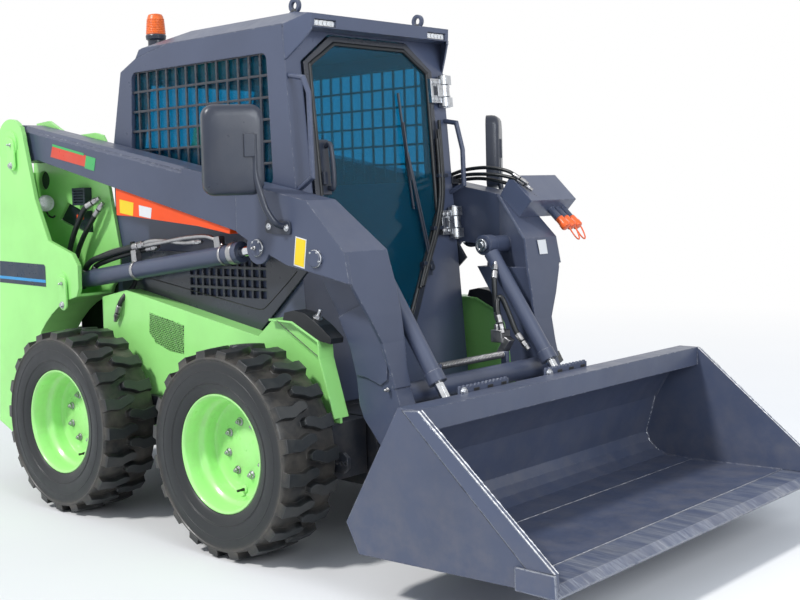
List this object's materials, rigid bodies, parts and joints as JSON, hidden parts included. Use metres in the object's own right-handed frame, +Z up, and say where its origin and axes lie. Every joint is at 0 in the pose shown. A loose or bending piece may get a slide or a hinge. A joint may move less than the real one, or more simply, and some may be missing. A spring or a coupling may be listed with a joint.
{
  "type": "skid steer loader",
  "caption": "Compact skid steer loader with a closed cab, hinged lift arms on hydraulic cylinders, a tilting flat-floor bucket and lugged tyres.",
  "frame": {"origin": "on the ground under the middle of the machine, midway between the rear face and the bucket's lip", "axes": "+X forward to the bucket, +Y to the machine's left, +Z up"},
  "size_m": [3.356, 1.804, 2.156],
  "materials": {
    "body_green": "satin paint",
    "frame_dark": "satin paint",
    "cab_grey": "satin paint",
    "arm_grey": "satin paint",
    "wear_steel": "worn",
    "lock_orange": "satin paint",
    "rod_chrome": "polished",
    "tinted_glass": "tinted",
    "tyre_rubber": "matte, dusty",
    "rim_green": "gloss paint",
    "black_plastic": "fine grain",
    "pad_rubber": "matte",
    "seat_vinyl": "grained",
    "seat_metal": "satin paint",
    "hinge_steel": "brushed",
    "lamp_chrome": "polished",
    "beacon_amber": "gloss",
    "engine_iron": "cast"
  },
  "bodies": {
    "chassis": {"lower_frame": "frame_dark", "tie_downs": "frame_dark", "rear_bumper": "frame_dark", "engine_block": "engine_iron", "work_lamps": "lamp_chrome", "vent_boxes": "black_plastic", "stop_pads": "pad_rubber", "cab_frame": "cab_grey", "cab_roof": "cab_grey", "roof_lamps": "lamp_chrome", "cab_glass": "tinted_glass", "window_guards": "cab_grey", "door_hinges": "hinge_steel", "grab_handles": "black_plastic", "beacon": "beacon_amber", "seat_base": "seat_metal", "seat_cushion": "seat_vinyl", "seat_back": "seat_vinyl", "consoles": "black_plastic", "tower_right": "body_green", "tower_left": "body_green", "body_side_right": "body_green", "body_side_left": "body_green", "side_panel_right": "cab_grey", "side_panel_left": "cab_grey"},
    "loader_arm": {"arm_right": "arm_grey", "arm_left": "arm_grey", "cross_tube": "arm_grey", "arm_lock": "lock_orange", "coupler_box": "cab_grey", "mirror_right": "black_plastic", "mirror_left": "black_plastic"},
    "bucket": {"hitch": "arm_grey", "bucket_shell": "arm_grey", "cutting_edge": "wear_steel"},
    "front_door": {"door_frame": "cab_grey", "door_glass": "tinted_glass", "door_handle": "black_plastic", "wiper": "black_plastic"},
    "rear_door": {"rear_door": "body_green"},
    "hood": {"hood": "body_green"},
    "lift_barrel_right": {"lift_barrel_right": "arm_grey"},
    "lift_rod_right": {"lift_rod_right": "rod_chrome"},
    "tilt_barrel_right": {"tilt_barrel_right": "arm_grey"},
    "tilt_rod_right": {"tilt_rod_right": "rod_chrome"},
    "wheel_front_right": {"tyre_front_right": "tyre_rubber", "rim_front_right": "rim_green"},
    "wheel_rear_right": {"tyre_rear_right": "tyre_rubber", "rim_rear_right": "rim_green"},
    "lift_barrel_left": {"lift_barrel_left": "arm_grey"},
    "lift_rod_left": {"lift_rod_left": "rod_chrome"},
    "tilt_barrel_left": {"tilt_barrel_left": "arm_grey"},
    "tilt_rod_left": {"tilt_rod_left": "rod_chrome"},
    "wheel_front_left": {"tyre_front_left": "tyre_rubber", "rim_front_left": "rim_green"},
    "wheel_rear_left": {"tyre_rear_left": "tyre_rubber", "rim_rear_left": "rim_green"}
  },
  "joints": [
    {"name": "wheel_front_right_spin", "type": "hinge", "parent": "chassis", "child": "wheel_front_right", "pos_m": [0.193, -0.75, 0.392], "axis": [0, 1, 0], "continuous": true},
    {"name": "wheel_front_left_spin", "type": "hinge", "parent": "chassis", "child": "wheel_front_left", "pos_m": [0.193, 0.75, 0.392], "axis": [0, 1, 0], "continuous": true},
    {"name": "wheel_rear_right_spin", "type": "hinge", "parent": "chassis", "child": "wheel_rear_right", "pos_m": [-0.869, -0.75, 0.392], "axis": [0, 1, 0], "continuous": true},
    {"name": "wheel_rear_left_spin", "type": "hinge", "parent": "chassis", "child": "wheel_rear_left", "pos_m": [-0.869, 0.75, 0.392], "axis": [0, 1, 0], "continuous": true},
    {"name": "arm_lift", "type": "hinge", "parent": "chassis", "child": "loader_arm", "pos_m": [-1.469, 0, 1.612], "axis": [0, -1, 0], "range_deg": [-2.5, 57]},
    {"name": "bucket_tilt", "type": "hinge", "parent": "loader_arm", "child": "bucket", "pos_m": [0.821, 0, 0.335], "axis": [0, 1, 0], "range_deg": [-20, 95]},
    {"name": "lift_barrel_right_swing", "type": "hinge", "parent": "chassis", "child": "lift_barrel_right", "pos_m": [-1.084, -0.59, 0.975], "axis": [0, -1, 0], "range_deg": [-2.43, 55.4]},
    {"name": "lift_rod_right_slide", "type": "slide", "parent": "lift_barrel_right", "child": "lift_rod_right", "axis": [0.9919, 0, 0.1272], "range_m": [-0.0312, 0.709]},
    {"name": "tilt_barrel_right_swing", "type": "hinge", "parent": "loader_arm", "child": "tilt_barrel_right", "pos_m": [0.516, -0.353, 1.106], "axis": [0, 1, 0], "range_deg": [-1, 4.3]},
    {"name": "tilt_rod_right_slide", "type": "slide", "parent": "tilt_barrel_right", "child": "tilt_rod_right", "axis": [0.5491, 0, -0.8358], "range_m": [-0.0613, 0.2909]},
    {"name": "lift_barrel_left_swing", "type": "hinge", "parent": "chassis", "child": "lift_barrel_left", "pos_m": [-1.084, 0.59, 0.975], "axis": [0, -1, 0], "range_deg": [-2.43, 55.4]},
    {"name": "lift_rod_left_slide", "type": "slide", "parent": "lift_barrel_left", "child": "lift_rod_left", "axis": [0.9919, 0, 0.1272], "range_m": [-0.0312, 0.709]},
    {"name": "tilt_barrel_left_swing", "type": "hinge", "parent": "loader_arm", "child": "tilt_barrel_left", "pos_m": [0.516, 0.353, 1.106], "axis": [0, 1, 0], "range_deg": [-1, 4.3]},
    {"name": "tilt_rod_left_slide", "type": "slide", "parent": "tilt_barrel_left", "child": "tilt_rod_left", "axis": [0.5491, 0, -0.8358], "range_m": [-0.0613, 0.2909]},
    {"name": "front_door_swing", "type": "hinge", "parent": "chassis", "child": "front_door", "pos_m": [0.25458, 0.44, 1.50212], "axis": [-0.0816, 0, 0.9967], "range_deg": [0, 60]},
    {"name": "rear_door_swing", "type": "hinge", "parent": "chassis", "child": "rear_door", "pos_m": [-1.6285, 0.472, 0.9], "axis": [-0.086, 0, -0.9963], "range_deg": [0, 100]},
    {"name": "hood_lift", "type": "hinge", "parent": "chassis", "child": "hood", "pos_m": [-0.973, 0, 1.282], "axis": [0, 1, 0], "range_deg": [0, 60]}
  ],
  "couplings": [
    {"joint": "lift_barrel_right_swing", "follows": "arm_lift", "ratio": 0.9712},
    {"joint": "lift_rod_right_slide", "follows": "arm_lift", "m_per_rad": 0.7125},
    {"joint": "tilt_barrel_right_swing", "follows": "bucket_tilt", "ratio": 0.0443},
    {"joint": "tilt_rod_right_slide", "follows": "bucket_tilt", "m_per_rad": 0.1754},
    {"joint": "lift_barrel_left_swing", "follows": "arm_lift", "ratio": 0.9712},
    {"joint": "lift_rod_left_slide", "follows": "arm_lift", "m_per_rad": 0.7125},
    {"joint": "tilt_barrel_left_swing", "follows": "bucket_tilt", "ratio": 0.0443},
    {"joint": "tilt_rod_left_slide", "follows": "bucket_tilt", "m_per_rad": 0.1754}
  ]
}
